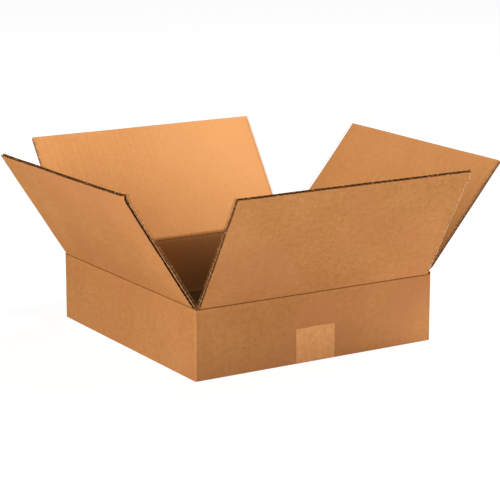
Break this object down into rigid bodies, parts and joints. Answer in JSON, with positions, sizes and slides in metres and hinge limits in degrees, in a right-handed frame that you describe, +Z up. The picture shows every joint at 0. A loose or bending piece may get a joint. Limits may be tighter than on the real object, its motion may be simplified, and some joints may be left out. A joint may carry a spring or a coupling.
{
  "type": "open corrugated cardboard box",
  "caption": "Shallow square carton of fluted board, open, with hinged top flaps and a bottom seam closed by paper tape.",
  "frame": {"origin": "middle of the underside, on the tape that covers the bottom seam", "axes": "+Z up, -Y towards the front wall, +X towards the right wall; the bottom seam runs along Y"},
  "size_m": [0.4962, 0.4778, 0.2122],
  "materials": {
    "kraft_board": "matte",
    "paper_tape": "matte"
  },
  "bodies": {
    "carton": {"carton_body": "kraft_board", "seam_tape": "paper_tape"},
    "front_flap": {"front_flap": "kraft_board"},
    "back_flap": {"back_flap": "kraft_board"},
    "left_flap": {"left_flap": "kraft_board"},
    "right_flap": {"right_flap": "kraft_board"}
  },
  "joints": [
    {"name": "front_crease", "type": "hinge", "parent": "carton", "child": "front_flap", "pos_m": [0, -0.1543, 0.07815], "axis": [1, 0, 0], "range_deg": [-120.6, 88.9]},
    {"name": "back_crease", "type": "hinge", "parent": "carton", "child": "back_flap", "pos_m": [0, 0.1543, 0.07815], "axis": [-1, 0, 0], "range_deg": [-124.7, 84.8]},
    {"name": "left_crease", "type": "hinge", "parent": "carton", "child": "left_flap", "pos_m": [-0.1543, 0, 0.08225], "axis": [0, -1, 0], "range_deg": [-123.2, 88.1]},
    {"name": "right_crease", "type": "hinge", "parent": "carton", "child": "right_flap", "pos_m": [0.1543, 0, 0.08225], "axis": [0, 1, 0], "range_deg": [-130.6, 80.7]}
  ]
}
